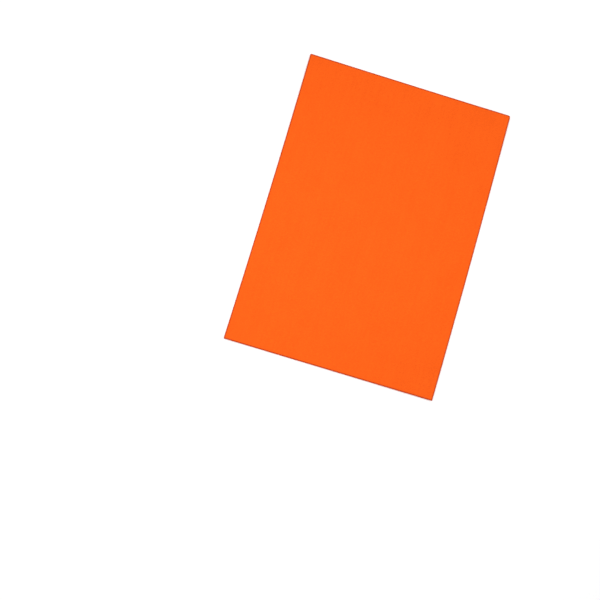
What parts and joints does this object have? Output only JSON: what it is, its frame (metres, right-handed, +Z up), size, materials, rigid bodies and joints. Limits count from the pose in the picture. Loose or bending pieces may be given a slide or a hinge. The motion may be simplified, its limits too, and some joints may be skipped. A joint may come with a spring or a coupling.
{
  "type": "craft foam sheet",
  "caption": "Thin flat rectangular sheet of soft orange closed-cell EVA foam with square corners and plain cut edges, for cutting into craft shapes.",
  "frame": {"origin": "centre of the underside, on the surface that the sheet lies on", "axes": "+X across the sheet, +Y along its length, +Z up out of the top face"},
  "size_m": [0.21, 0.297, 0.002],
  "materials": {
    "foam": "matte closed-cell EVA foam, one colour right through, with fine skived grain on both faces and open cells along the cut edge"
  },
  "bodies": {
    "root": {"foam_sheet": "foam"}
  },
  "joints": []
}
